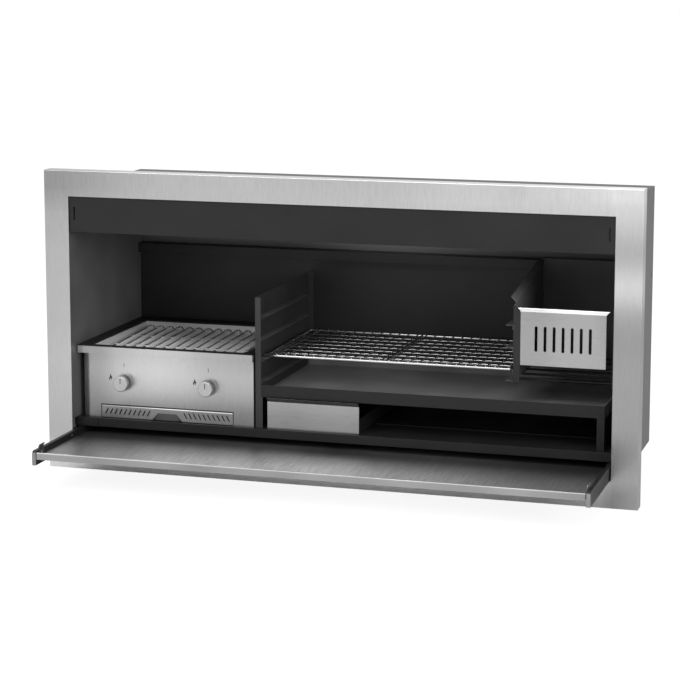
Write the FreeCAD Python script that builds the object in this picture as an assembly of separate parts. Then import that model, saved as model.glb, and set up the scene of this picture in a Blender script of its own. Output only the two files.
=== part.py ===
# A built-in grill for gas and wood: a casing behind a stainless fascia holds a gas burner unit, a wood fire
# bay with an ash drawer and a wire grid, an ember box, and a door tray that slides out at the front.
# All sizes are in millimetres. While it is built, X runs to the right from the middle of the fascia, Y runs
# into the wall from the fascia's front face, and Z runs up from the fascia's bottom edge.
import FreeCAD, Part
import os
from math import cos, pi, radians, sin, sqrt

# Running gaps
slide_gap = 0.3             # between a sliding piece and what it slides on
side_gap = 0.5              # beside a drawer or a tray in its opening
shaft_gap = 0.05            # radial, a shaft in its hole

# Sheet thicknesses
casing_sheet = 2.0
inner_sheet = 1.5
steel_sheet = 1.5           # stainless fronts
burner_sheet = 1.2

# Fascia: the frame that covers the edge of the wall opening
fascia_width = 1500.0
fascia_height = 757.0
fascia_sheet = 2.0
fascia_return = 40.0        # depth of the turned outer edge
fascia_edge_radius = 1.5
fascia_side_border = 64.5
fascia_top_border = 64.5
sill_height = 65.3          # the opening's lower edge above the fascia's lower edge

# Casing
casing_side_margin = 12.0   # the casing's sides outside the opening
casing_head_margin = 16.5   # the casing's top above the opening
casing_depth = 507.0
casing_foot_margin = 15.8   # the casing's underside below the opening
flange_reveal = 2.0         # the casing's front flanges end this far outside the opening
flue_diameter = 300.0
flue_bolt_circle = 340.0
flue_bolt_count = 8
flue_bolt_hole = 7.0
side_hole_diameter = 10.0
side_hole_inset = 23.0      # from the casing's rear edge
side_hole_drop = 224.0      # from the casing's top

# Door tray
arm_height = 35.5
arm_width = 9.5
arm_wall = 1.5
arm_side_gap = 3.5          # between the arms and the opening's sides
arm_rest_gap = 0.2          # under the arms, on the sill
arm_chamfer = 6.0
door_reach = 249.0          # how far the open tray stands out in front of the fascia
door_fit_gap = 12.2         # the shut door is this much shorter than the opening is high
door_panel_rise = 17.5      # the panel's underside above the arms' underside
door_lip_drop = 2.6         # the lip's lower edge below the panel's underside
door_lip_height = 17.1
door_lip_hem = 4.0
door_lip_inset = 2.5        # the lip's ends inside the arms' inner faces
hook_sheet = 2.0
hook_rise = 12.0            # the hook's tip above the arm
hook_root_height = 15.0
hook_root_setback = 16.0
hook_root_length = 30.0
hook_nose = 5.0
rivet_head_diameter = 7.0
rivet_head_height = 1.0
rivet_setback = 218.0       # from the arm's front end to the stop rivet
pin_diameter = 12.0
pin_collar_diameter = 21.4
pin_collar_width = 7.5
pin_inset = 10.0            # the pin's centre from the rear end of the tray
rail_sheet = 2.0
rail_start = 4.0            # behind the fascia's rear face
rail_rear_gap = 21.0

# Deck
door_head_gap = 1.5         # from the arms to the deck's lip
deck_lip = 22.0
deck_setback = 37.0         # the deck's front behind the casing's front
deck_sheet = 2.0
end_plate_gap = 2.0         # from the end plates to the side liners
end_plate_height = 22.0

# Liners and shields
liner_air_gap = 4.0
liner_setback = 10.0
liner_headroom = 7.0
shield_air_gap = 23.5
shield_height = 388.5       # above the deck
bay_shield_rise = 3.0       # above the wider back shield
smoke_lip_depth = 17.0
smoke_lip_drop = 25.0

# Valance and latch brackets
valance_end = 53.5          # from the valance's ends to the opening's sides
valance_drop = 89.5         # below the opening's upper edge
bracket_side = 8.0
bracket_end_gap = 1.5       # from the latch brackets to the casing's sides
latch_slot_width = 4.6
latch_slot_height = 33.0
latch_slot_rise = 29.5      # the slot's lower end above the valance's lower edge

# Bays
bay_setback = 48.0          # the bays' fronts behind the casing's front
divider_x = -213.0          # the divider's left face
divider_height = 328.0
divider_flange = 14.5
divider_foot_flange = 18.4
ledge_width = 19.0
ledge_leg = 12.0
ledge_pitch = 54.0
ledge_first = 116.0         # the lowest ledge above the deck
divider_ledge_count = 4
divider_ledge_setback = 33.0
divider_ledge_length = 333.0

# Fire pan
pan_side_gap = 30.5         # from the pan to the right liner
pan_floor_height = 78.9     # the pan's underside above the deck
pan_sheet = 1.6
pan_wall = 30.0
pan_leg_flange = 18.5
floor_liner_left_gap = 1.2  # from the ash drawer
floor_liner_right_gap = 1.0 # from the pan's support
floor_liner_setback = 125.0
floor_liner_sheet = 2.0

# Ember box
box_width = 243.0
box_side_gap = 27.0         # from the ember box to the right liner
box_setback = 78.0          # behind the bays' fronts
box_bottom = 137.0          # above the deck
box_post_height = 189.6
box_tab = 9.0
box_wall_front_height = 193.0
box_wall_rear_height = 239.5
box_flare_setback = 28.0
box_flare = 13.0
box_foot_flange = 20.0
box_ledge_count = 3
box_ledge_length = 342.0
plate_left_margin = 18.0
plate_right_margin = 16.4
front_plate_bottom = 44.6   # above the box's bottom
front_plate_height = 131.4
front_plate_flare = 8.4
front_plate_lean = 5.0
mitre_gap = 1.0
vent_count = 7
vent_width = 7.0
vent_height = 62.0
vent_pitch = 22.0
grate_bar_diameter = 5.0
grate_bar_lift = 0.2
grate_first = 40.0          # behind the box's front
grate_pitch = 60.0
grate_count = 6

# Ash drawer
drawer_left_gap = 29.5      # from the divider
drawer_width = 236.3
drawer_face_height = 68.2
drawer_lip_rise = 10.5
drawer_lip_reach = 10.0
drawer_side_height = 35.0
drawer_side_inset = 2.0
drawer_length = 410.0

# Wire grid
grid_left_gap = 5.0         # from the divider
grid_right_gap = 1.0        # from the ember box
grid_frame_rod = 7.0
grid_wire = 3.2
grid_setback = 50.5         # behind the bays' fronts
grid_rear_gap = 6.5         # from the wire grid to the back shield
grid_wire_pitch = 24.2
grid_wires_each_side = 12
grid_cross_count = 7
grid_middle_bar = 310.0     # from the grid's left side to its middle rod

# Gas burner unit
burner_side_gap = 11.0      # from the left liner
burner_divider_gap = 5.0
burner_corner = 21.0
burner_rear_gap = 4.0
burner_height = 183.5
burner_side_return = 60.0
burner_top_overhang = 7.0
burner_lip_reach = 8.0
burner_lip_height = 18.0
top_frame_sheet = 2.0
seat_left_margin = 32.0
seat_right_margin = 25.0
seat_setback = 10.0
seat_rear_margin = 48.0
seat_drop = 36.5
seat_ledge = 8.0
grill_rim = 2.0
grill_rim_height = 33.0
grill_sheet = 1.5
channel_count = 14
channel_margin = 11.0       # flat strip beside the first and the last ridge
channel_depth = 10.0
channel_foot = 2.0
channel_rise = 11.6         # the channels climb this much from front to rear, so fat runs forward
ridge_slot_width = 3.6
ridge_bridge = 38.0         # uncut length of each ridge at a cross bar
rear_slot_height = 4.0      # the slots in the grill frame's rear wall, above the channels' left flanks
rear_slot_inset = 3.0
cross_bar_setback = 32.5    # from the channels' front ends to the first cross bar
cross_bar_pitch = 109.0
cross_bar_count = 3
cross_bar_width = 3.0
cross_bar_height = 6.0
cross_bar_margin = 2.0      # from the bars' ends to the seat's ledges
burner_tube_diameter = 38.0
burner_tube_wall = 1.5
burner_tube_setback = 62.0
port_diameter = 3.0
port_pitch = 20.0
port_angle = 60.0
tube_stub = 10.0
support_thickness = 2.0
support_offset = 14.0       # behind the tubes' open ends
support_height = 62.0

# Gas valves and knobs
knob_inset = 115.5          # from the burner's left side to the left knob's middle
knob_spread = 226.4
knob_height = 93.5          # above the deck
knob_diameter = 38.0
knob_face_reach = 27.0      # the knob's face in front of the burner's front
knob_length = 20.5
knob_bore_depth = 14.0
knob_grip_step = 2.0
knob_skirt = 5.1            # the narrower length at the knob's back
knob_push = 3.5
pointer_width = 2.0
pointer_length = 13.0
pointer_depth = 0.8
bezel_diameter = 44.0
bezel_bore = 16.0
bezel_thickness = 2.0
panel_hole = 10.0
stem_diameter = 6.0
stem_shoulder = 10.0
stem_shoulder_length = 3.0
valve_gap = 3.0             # behind the front panel
valve_width = 26.0
valve_height = 28.0
valve_length = 42.0
valve_wall = 4.0
valve_cavity_diameter = 14.0
valve_cavity_length = 16.0
washer_thickness = 1.5
nozzle_diameter = 8.0
nozzle_reach = 6.0          # into the burner tube
jet_diameter = 1.6
gas_way = 3.4               # from the manifold into each valve
inlet_boss = 12.0
inlet_boss_drop = 6.0
manifold_size = 20.0
manifold_wall = 2.0
manifold_left_margin = 24.0
manifold_right_margin = 32.0
supply_inset = 39.0         # from the burner's left side
supply_diameter = 15.0
supply_wall = 1.5
supply_hole_gap = 1.0
union_size = 24.0
union_thickness = 8.0
union_thread_diameter = 20.9
union_thread_length = 20.0
electrode_diameter = 6.0
electrode_length = 50.0
electrode_tip = 1.5
electrode_tip_length = 12.0
electrode_side = 8.0        # beside the burner tube

# Drip tray
tray_left_margin = 53.6
tray_right_margin = 54.7
tray_opening_height = 34.0
tray_floor_gap = 1.5        # the tray's underside above the deck
tray_face_height = 31.0
tray_side_height = 24.0
tray_side_inset = 5.0
tray_length = 385.0
notch_width = 80.4
notch_taper = 15.0
notch_height = 18.0
tray_vent_count = 10
tray_vent_pitch = 12.6
tray_vent_width = 3.2
tray_vent_length = 17.0
tray_vent_lean = 28.0
tray_vent_margin = 13.0

# Places that follow from the sizes above
half_fascia = fascia_width / 2
half_opening = half_fascia - fascia_side_border
opening_head = fascia_height - fascia_top_border
casing_front = fascia_sheet
casing_rear = casing_front + casing_depth
casing_half = half_opening + casing_side_margin
casing_top = opening_head + casing_head_margin
casing_foot = sill_height - casing_foot_margin
inner_half = casing_half - casing_sheet
inner_rear = casing_rear - casing_sheet
inner_floor = casing_foot + casing_sheet
inner_ceiling = casing_top - casing_sheet
flange_rear = casing_front + casing_sheet
arm_outer = half_opening - arm_side_gap
arm_inner = arm_outer - arm_width
arm_bottom = sill_height + arm_rest_gap
arm_top = arm_bottom + arm_height
arm_front = -door_reach
arm_rear = arm_front + opening_head - sill_height - door_fit_gap
panel_bottom = arm_bottom + door_panel_rise
deck_lip_bottom = arm_top + door_head_gap
deck_top = deck_lip_bottom + deck_lip
deck_front = casing_front + deck_setback
liner_outer = inner_half - liner_air_gap
liner_inner = liner_outer - inner_sheet
liner_front = casing_front + liner_setback
shield_rear = inner_rear - shield_air_gap
shield_front = shield_rear - inner_sheet
shield_top = deck_top + shield_height
bay_shield_top = shield_top + bay_shield_rise
valance_half = half_opening - valance_end
valance_bottom = opening_head - valance_drop
bay_front = casing_front + bay_setback
divider_right = divider_x + inner_sheet
pan_right = liner_inner - pan_side_gap
box_right = liner_inner - box_side_gap
box_left = box_right - box_width
front_plate_left = box_left + plate_left_margin
front_plate_right = box_right - plate_right_margin
drawer_left = divider_right + drawer_left_gap
drawer_right = drawer_left + drawer_width
grid_left = divider_right + grid_left_gap
grid_right = box_left - grid_right_gap
grid_middle = grid_left + grid_middle_bar
burner_left = -liner_inner + burner_side_gap
burner_right = divider_x - burner_divider_gap
burner_middle = (burner_left + burner_right) / 2
divider_top = deck_top + divider_height
pan_bottom = deck_top + pan_floor_height
pan_top = pan_bottom + pan_wall
pan_rear = shield_front - inner_sheet
box_front = bay_front + box_setback
box_floor = deck_top + box_bottom
burner_rear = shield_front - burner_rear_gap
burner_top = deck_top + burner_height
top_frame_top = burner_top + top_frame_sheet
seat_left = burner_left - burner_top_overhang + seat_left_margin
seat_right = burner_right - seat_right_margin
seat_front = bay_front + seat_setback
seat_rear = burner_rear - seat_rear_margin
seat_bottom = top_frame_top - seat_drop
knob_x = (burner_left + knob_inset, burner_left + knob_inset + knob_spread)
knob_z = deck_top + knob_height
valve_front = bay_front + steel_sheet + valve_gap
valve_rear = valve_front + valve_length
tube_front = bay_front + burner_tube_setback
manifold_top = knob_z - valve_height / 2 - inlet_boss_drop
manifold_front = valve_front + valve_length / 2 - manifold_size / 2 + valve_wall
supply_x = burner_left + supply_inset
supply_z = manifold_top - manifold_size / 2
tray_left = burner_left + tray_left_margin
tray_right = burner_right - tray_right_margin
tray_opening_top = deck_top + tray_opening_height
tray_bottom = deck_top + tray_floor_gap

# Where the finished part's origin lies: the middle of the casing's underside
origin = FreeCAD.Vector(0, casing_front + casing_depth / 2, casing_foot)


def point(x, y, z):
    return FreeCAD.Vector(x, y, z)


def block(x0, x1, y0, y1, z0, z1):
    """A box between two corners, given in any order."""
    low = point(min(x0, x1), min(y0, y1), min(z0, z1))
    return Part.makeBox(abs(x1 - x0), abs(y1 - y0), abs(z1 - z0), low)


def prism(corners, direction):
    """A flat outline pushed along a direction."""
    outline = Part.makePolygon(corners + [corners[0]])
    return Part.Face(outline).extrude(direction)


def prism_x(outline, x0, x1):
    """An outline of (y, z) corners pushed from x0 to x1."""
    return prism([point(x0, y, z) for y, z in outline], point(x1 - x0, 0, 0))


def prism_y(outline, y0, y1):
    """An outline of (x, z) corners pushed from y0 to y1."""
    return prism([point(x, y0, z) for x, z in outline], point(0, y1 - y0, 0))


def rod(start, end, diameter):
    """A round bar between two points."""
    run = end - start
    return Part.makeCylinder(diameter / 2, run.Length, start, run)


def joined(*shapes):
    """One solid from shapes that touch or overlap."""
    whole = shapes[0]
    for shape in shapes[1:]:
        whole = whole.fuse(shape)
    return whole.removeSplitter()


def group(shapes):
    """Several separate solids kept in one node."""
    return Part.makeCompound(shapes)


def mirrored(shape):
    """The same piece on the other side of the middle."""
    return shape.mirror(point(0, 0, 0), point(1, 0, 0))


def fascia_frame():
    plate = block(-half_fascia, half_fascia, 0, fascia_return, 0, fascia_height)
    front_corners = [edge for edge in plate.Edges if edge.BoundBox.YMax < 1e-6]
    plate = plate.makeFillet(fascia_edge_radius, front_corners)
    inside = block(-half_fascia + fascia_sheet, half_fascia - fascia_sheet, fascia_sheet, fascia_return,
                   fascia_sheet, fascia_height - fascia_sheet)
    window = block(-half_opening, half_opening, 0, fascia_sheet, sill_height, opening_head)
    return plate.cut(inside).cut(window)


def casing_base():
    floor = block(-casing_half, casing_half, casing_front, casing_rear, casing_foot, inner_floor)
    flange_top = sill_height - flange_reveal
    flange = block(-inner_half, inner_half, casing_front, flange_rear, inner_floor, flange_top)
    return joined(floor, flange)


def casing_side_left():
    wall = block(-casing_half, -inner_half, casing_front, casing_rear, inner_floor, inner_ceiling)
    flange = block(-inner_half, -half_opening - flange_reveal, casing_front, flange_rear,
                   sill_height - flange_reveal, opening_head + flange_reveal)
    return joined(wall, flange)


def casing_side_right():
    hole_y = casing_rear - side_hole_inset
    hole_z = casing_top - side_hole_drop
    hole = rod(point(inner_half, hole_y, hole_z), point(casing_half, hole_y, hole_z), side_hole_diameter)
    return mirrored(casing_side_left()).cut(hole)


def supply_hole(y0, y1):
    """The round way for the gas inlet pipe through a sheet."""
    diameter = supply_diameter + 2 * supply_hole_gap
    return rod(point(supply_x, y0, supply_z), point(supply_x, y1, supply_z), diameter)


def casing_back():
    wall = block(-inner_half, inner_half, inner_rear, casing_rear, inner_floor, inner_ceiling)
    return wall.cut(supply_hole(inner_rear, casing_rear))


def casing_top_panel():
    roof = block(-casing_half, casing_half, casing_front, casing_rear, inner_ceiling, casing_top)
    flange_bottom = opening_head + flange_reveal
    flange = block(-inner_half, inner_half, casing_front, flange_rear, flange_bottom, inner_ceiling)
    flue = rod(point(0, origin.y, inner_ceiling), point(0, origin.y, casing_top), flue_diameter)
    roof = joined(roof, flange).cut(flue)
    for index in range(flue_bolt_count):
        angle = 2 * pi * index / flue_bolt_count
        x = flue_bolt_circle / 2 * cos(angle)
        y = origin.y + flue_bolt_circle / 2 * sin(angle)
        roof = roof.cut(rod(point(x, y, inner_ceiling), point(x, y, casing_top), flue_bolt_hole))
    return roof


def side_liner():
    """The left liner: a sheet on the deck, with its front and rear edges turned out to the casing."""
    liner_top = inner_ceiling - liner_headroom
    sheet = block(-liner_outer, -liner_inner, liner_front, shield_rear, deck_top, liner_top)
    front_edge = block(-inner_half, -liner_outer, liner_front, liner_front + inner_sheet,
                       deck_top, liner_top)
    rear_edge = block(-inner_half, -liner_outer, shield_rear - inner_sheet, shield_rear,
                      deck_top, liner_top)
    return joined(sheet, front_edge, rear_edge)


def back_shield():
    sheet = block(-liner_inner, box_left, shield_front, shield_rear, deck_top, shield_top)
    head = block(-liner_inner, box_left, shield_rear, inner_rear, shield_top - inner_sheet, shield_top)
    return joined(sheet, head).cut(supply_hole(shield_front, shield_rear))


def back_shield_right():
    sheet = block(box_left, liner_inner, shield_front, shield_rear, deck_top, bay_shield_top)
    head = block(box_left, liner_inner, shield_rear, inner_rear,
                 bay_shield_top - inner_sheet, bay_shield_top)
    return joined(sheet, head)


def smoke_lip():
    front = shield_front - smoke_lip_depth
    face_bottom = shield_top - smoke_lip_drop
    face = block(-liner_inner, box_left, front, front + inner_sheet, face_bottom, shield_top)
    top = block(-liner_inner, box_left, front, shield_front, shield_top - inner_sheet, shield_top)
    return joined(face, top)


def valance():
    rear = flange_rear + inner_sheet
    return block(-valance_half, valance_half, flange_rear, rear, valance_bottom, inner_ceiling)


def latch_bracket():
    """The left bracket beside the valance, with the slot that the door's hook enters."""
    inner_end = valance_half
    rear = flange_rear + casing_sheet
    plate = block(bracket_end_gap - inner_half, -inner_end, flange_rear, rear,
                  valance_bottom, inner_ceiling)
    cheek = block(-inner_end - casing_sheet, -inner_end, rear, rear + bracket_side,
                  valance_bottom, inner_ceiling)
    slot_x = -(arm_inner - hook_sheet / 2)
    slot_bottom = valance_bottom + latch_slot_rise
    slot = block(slot_x - latch_slot_width / 2, slot_x + latch_slot_width / 2, flange_rear, rear,
                 slot_bottom, slot_bottom + latch_slot_height)
    return joined(plate, cheek).cut(slot)


def deck():
    sheet_bottom = deck_top - deck_sheet
    sheet = block(-inner_half, inner_half, deck_front, inner_rear, sheet_bottom, deck_top)
    lip = block(-inner_half, inner_half, deck_front, deck_front + deck_sheet, deck_lip_bottom, sheet_bottom)
    side = block(-inner_half, -inner_half + deck_sheet, deck_front, inner_rear,
                 deck_lip_bottom, sheet_bottom)
    rear = block(-inner_half, inner_half, inner_rear - deck_sheet, inner_rear,
                 deck_lip_bottom, sheet_bottom)
    return joined(sheet, lip, side, mirrored(side), rear)


def deck_end_plates():
    plate = block(-liner_inner + end_plate_gap, -valance_half, deck_front - casing_sheet, deck_front,
                  deck_top - end_plate_height, deck_top)
    return group([plate, mirrored(plate)])


def floor_liner():
    left = drawer_right + floor_liner_left_gap
    right = pan_right - pan_leg_flange - floor_liner_right_gap
    front = bay_front + floor_liner_setback
    return block(left, right, front, shield_front, deck_top, deck_top + floor_liner_sheet)


def divider():
    sheet = block(divider_x, divider_right, bay_front, shield_front, deck_top, divider_top)
    flange_right = divider_x + divider_flange
    flange_rear_y = bay_front + inner_sheet
    front = block(divider_right, flange_right, bay_front, flange_rear_y, deck_top, divider_top)
    foot = block(divider_right, divider_x + divider_foot_flange, bay_front, flange_rear_y,
                 deck_top, pan_bottom)
    rear = block(divider_right, flange_right, pan_rear, shield_front, deck_top, divider_top)
    return joined(sheet, front, foot, rear)


def ledge(wall_x, side, front, length, top):
    """An angle strip on a wall; side is +1 where it reaches to the right and -1 to the left."""
    strip = block(wall_x, wall_x + side * ledge_width, front, front + length, top - inner_sheet, top)
    leg = block(wall_x, wall_x + side * inner_sheet, front, front + length,
                top - ledge_leg, top - inner_sheet)
    return joined(strip, leg)


def ledge_height(index):
    """The top of a ledge, counted from the lowest one."""
    return deck_top + ledge_first + index * ledge_pitch


def divider_ledges():
    front = bay_front + divider_ledge_setback
    return group([ledge(divider_right, 1, front, divider_ledge_length, ledge_height(index))
                  for index in range(divider_ledge_count)])


def fire_pan():
    floor_top = pan_bottom + pan_sheet
    front_left = divider_x + divider_flange
    floor = block(divider_right, pan_right, bay_front + inner_sheet, pan_rear, pan_bottom, floor_top)
    front_floor = block(front_left, pan_right, bay_front, bay_front + inner_sheet, pan_bottom, floor_top)
    front = block(front_left, pan_right, bay_front, bay_front + pan_sheet, floor_top, pan_top)
    right = block(pan_right - pan_sheet, pan_right, bay_front, pan_rear, floor_top, pan_top)
    rear = block(divider_right, pan_right, pan_rear - pan_sheet, pan_rear, floor_top, pan_top)
    return joined(floor, front_floor, front, right, rear)


def pan_support():
    web = block(pan_right - inner_sheet, pan_right, bay_front, pan_rear, deck_top, pan_bottom)
    flange_left = pan_right - pan_leg_flange
    flange_right = pan_right - inner_sheet
    front = block(flange_left, flange_right, bay_front, bay_front + inner_sheet, deck_top, pan_bottom)
    rear = block(flange_left, flange_right, pan_rear - inner_sheet, pan_rear, deck_top, pan_bottom)
    return joined(web, front, rear)


def box_wall(outer_x, side):
    """A wall of the ember box, its outer face at outer_x; side is +1 where the box lies to its right."""
    inner_x = outer_x + side * inner_sheet
    post_top = box_floor + box_post_height
    flare_front = box_front + box_flare_setback
    wall_rear_top = box_floor + box_wall_rear_height
    wall_front_top = box_floor + box_wall_front_height
    outline = [(box_front, box_floor), (shield_front, box_floor), (shield_front, wall_rear_top),
               (flare_front, wall_front_top), (box_front, post_top)]
    sheet = prism_x(outline, outer_x, inner_x)
    plate_edge = front_plate_left if side > 0 else front_plate_right
    plate_bottom = box_floor + front_plate_bottom
    plate_top = plate_bottom + front_plate_height
    post_x = plate_edge - side * (mitre_gap + inner_sheet / 2)
    tab_x = plate_edge + side * box_tab
    cut_top_x = post_x - side * (post_top - plate_top)
    post = prism_y([(inner_x, box_floor), (post_x, box_floor), (post_x, plate_bottom + box_tab),
                    (tab_x, plate_bottom + box_tab), (tab_x, plate_top - box_tab),
                    (post_x, plate_top - box_tab), (post_x, plate_top), (cut_top_x, post_top),
                    (inner_x, post_top)],
                   box_front, box_front + inner_sheet)
    foot = block(outer_x, outer_x - side * box_foot_flange, box_front, shield_front, box_floor,
                 box_floor + inner_sheet)
    lip_rear = shield_front - smoke_lip_depth - side_gap
    slope = (wall_rear_top - wall_front_top) / (shield_front - flare_front)
    lip_rear_top = wall_front_top + slope * (lip_rear - flare_front)
    flare = flare_sheet(outer_x, inner_x, side, (flare_front, wall_front_top), (lip_rear, lip_rear_top))
    return joined(sheet, post, foot, flare)


def flare_sheet(outer_x, inner_x, side, front, rear):
    """The top edge of a wall, leaned outwards at 45 degrees between two (y, z) points of the wall's top."""
    def section(y, z):
        corners = [point(inner_x, y, z), point(outer_x, y, z),
                   point(outer_x - side * box_flare, y, z + box_flare),
                   point(inner_x - side * box_flare, y, z + box_flare)]
        return Part.makePolygon(corners + [corners[0]])
    return Part.makeLoft([section(*front), section(*rear)], True, True)


def box_ledges():
    return group([ledge(box_left, -1, box_front, box_ledge_length, ledge_height(index + 1))
                  for index in range(box_ledge_count)])


def box_front_panel():
    bottom = box_floor + front_plate_bottom
    top = bottom + front_plate_height
    front = box_front - steel_sheet
    plate = block(front_plate_left, front_plate_right, front, box_front, bottom, top)
    middle = (front_plate_left + front_plate_right) / 2
    vent_z = (bottom + top) / 2
    for index in range(vent_count):
        x = middle + (index - (vent_count - 1) / 2) * vent_pitch
        plate = plate.cut(upright_slot(x, vent_z, vent_width, vent_height, front, box_front))
    lip_top = top + front_plate_flare
    lip_outline = [(front_plate_left, top), (front_plate_right, top),
                   (front_plate_right + front_plate_flare, lip_top),
                   (front_plate_left - front_plate_flare, lip_top)]
    lip = leaned(lip_outline, front, steel_sheet, top, lip_top, front_plate_lean)
    return joined(plate, lip)


def leaned(outline, y, thickness, bottom, top, lean):
    """A sheet of (x, z) corners whose top leans back; y is its front face at the bottom."""
    def back(z):
        return y + lean * (z - bottom) / (top - bottom)
    corners = [point(x, back(z), z) for x, z in outline]
    return prism(corners, point(0, thickness, 0))


def upright_slot(x, z, width, height, y0, y1):
    """A slot with round ends, as a cutter."""
    half = (height - width) / 2
    body = block(x - width / 2, x + width / 2, y0, y1, z - half, z + half)
    low = rod(point(x, y0, z - half), point(x, y1, z - half), width)
    high = rod(point(x, y0, z + half), point(x, y1, z + half), width)
    return joined(body, low, high)


def ember_grate():
    z = box_floor + grate_bar_lift + grate_bar_diameter / 2
    bars = []
    for index in range(grate_count):
        y = box_front + grate_first + index * grate_pitch
        bars.append(rod(point(box_left + inner_sheet, y, z), point(box_right - inner_sheet, y, z),
                        grate_bar_diameter))
    return group(bars)


def ash_drawer_front():
    bottom = deck_top + slide_gap
    top = bottom + drawer_face_height
    lip_top = top + drawer_lip_rise
    outline = [(bay_front, bottom), (bay_front + steel_sheet, bottom), (bay_front + steel_sheet, top),
               (bay_front + steel_sheet - drawer_lip_reach, lip_top), (bay_front - drawer_lip_reach, lip_top),
               (bay_front, top)]
    return prism_x(outline, drawer_left, drawer_right)


def open_tray(left, right, front, rear, bottom, height, sheet):
    """A sheet tray with a floor and four walls, open at the top."""
    outside = block(left, right, front, rear, bottom, bottom + height)
    inside = block(left + sheet, right - sheet, front + sheet, rear - sheet, bottom + sheet, bottom + height)
    return outside.cut(inside)


def ash_drawer_pan():
    front = bay_front + steel_sheet
    return open_tray(drawer_left + drawer_side_inset, drawer_right - drawer_side_inset, front,
                     bay_front + drawer_length, deck_top + slide_gap, drawer_side_height, inner_sheet)


def grid_level():
    """The height of the middle of the wire grid's frame rods, on the second ledge."""
    return ledge_height(1) + slide_gap + grid_frame_rod / 2


def grid_line(first, index, count, length):
    """One of several evenly spaced places, the ends left out."""
    return first + length * (index + 1) / (count + 1)


def wire_grid_frame():
    z = grid_level()
    half = grid_frame_rod / 2
    front = bay_front + grid_setback + half
    rear = shield_front - grid_rear_gap - half
    rods = [rod(point(grid_left, y, z), point(grid_right, y, z), grid_frame_rod) for y in (front, rear)]
    for x in (grid_left + half, grid_middle, grid_right - half):
        rods.append(rod(point(x, front + half, z), point(x, rear - half, z), grid_frame_rod))
    return group(rods)


def wire_grid_wires():
    z = grid_level()
    frame_half = grid_frame_rod / 2
    front = bay_front + grid_setback + grid_frame_rod
    rear = shield_front - grid_rear_gap - grid_frame_rod
    upper = z + grid_wire / 2
    lower = z - grid_wire / 2
    wires = []
    for side in (-1, 1):
        for index in range(grid_wires_each_side):
            x = grid_middle + side * (index + 0.5) * grid_wire_pitch
            wires.append(rod(point(x, front, upper), point(x, rear, upper), grid_wire))
    spans = [(grid_left + grid_frame_rod, grid_middle - frame_half),
             (grid_middle + frame_half, grid_right - grid_frame_rod)]
    for index in range(grid_cross_count):
        y = grid_line(front, index, grid_cross_count, rear - front)
        for start, end in spans:
            wires.append(rod(point(start, y, lower), point(end, y, lower), grid_wire))
    return group(wires)


def burner_front_panel():
    """The brushed front, its left corner rolled, with holes for the stems and a way for the drip tray."""
    corner = point(burner_left + burner_corner, bay_front + burner_corner, deck_top)
    inner_radius = burner_corner - steel_sheet
    flat = block(corner.x, burner_right, bay_front, bay_front + steel_sheet, deck_top, burner_top)
    side = block(burner_left, burner_left + steel_sheet, corner.y, corner.y + burner_side_return,
                 deck_top, burner_top)
    outer = Part.makeCylinder(burner_corner, burner_top - deck_top, corner, point(0, 0, 1))
    inner = Part.makeCylinder(inner_radius, burner_top - deck_top, corner, point(0, 0, 1))
    quarter = block(burner_left, corner.x, bay_front, corner.y, deck_top, burner_top)
    panel = joined(flat, outer.cut(inner).common(quarter), side)
    for x in knob_x:
        rear = point(x, bay_front + steel_sheet, knob_z)
        panel = panel.cut(rod(point(x, bay_front, knob_z), rear, panel_hole))
    way = block(tray_left, tray_right, bay_front, bay_front + steel_sheet, deck_top, tray_opening_top)
    return panel.cut(way)


def burner_box():
    """The inner shell: floor, left and right walls and back, open at the front and at the top."""
    left = burner_left + steel_sheet
    front = bay_front + steel_sheet
    wall_front = bay_front + burner_corner
    floor = block(left + burner_sheet, burner_right, wall_front, burner_rear,
                  deck_top, deck_top + burner_sheet)
    left_wall = block(left, left + burner_sheet, wall_front, burner_rear, deck_top, burner_top)
    right_wall = block(burner_right - burner_sheet, burner_right, front, burner_rear, deck_top, burner_top)
    back = block(left, burner_right, burner_rear - burner_sheet, burner_rear, deck_top, burner_top)
    shell = joined(floor, left_wall, right_wall, back)
    return shell.cut(supply_hole(burner_rear - burner_sheet, burner_rear))


def burner_top_frame():
    """The dark top with a sunk seat for the V-channel grill."""
    front = bay_front - burner_lip_reach
    left = burner_left - burner_top_overhang
    plate = block(left, burner_right, front, burner_rear, burner_top, top_frame_top)
    well = block(seat_left - inner_sheet, seat_right + inner_sheet, seat_front - inner_sheet,
                 seat_rear + inner_sheet, seat_bottom - inner_sheet, top_frame_top)
    hollow = block(seat_left, seat_right, seat_front, seat_rear, seat_bottom, top_frame_top)
    way = block(seat_left + seat_ledge, seat_right - seat_ledge, seat_front + seat_ledge,
                seat_rear - seat_ledge, seat_bottom - inner_sheet, top_frame_top)
    return joined(plate, well).cut(hollow).cut(way)


def burner_lip():
    front = bay_front - burner_lip_reach
    bottom = burner_top - burner_lip_height
    left = burner_left - burner_top_overhang
    face = block(left, burner_right, front, front + steel_sheet, bottom, burner_top)
    foot = block(left, burner_right, front, bay_front, bottom, bottom + steel_sheet)
    end = block(left, left + steel_sheet, front, bay_front, bottom, burner_top)
    return joined(face, foot, end)


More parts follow.
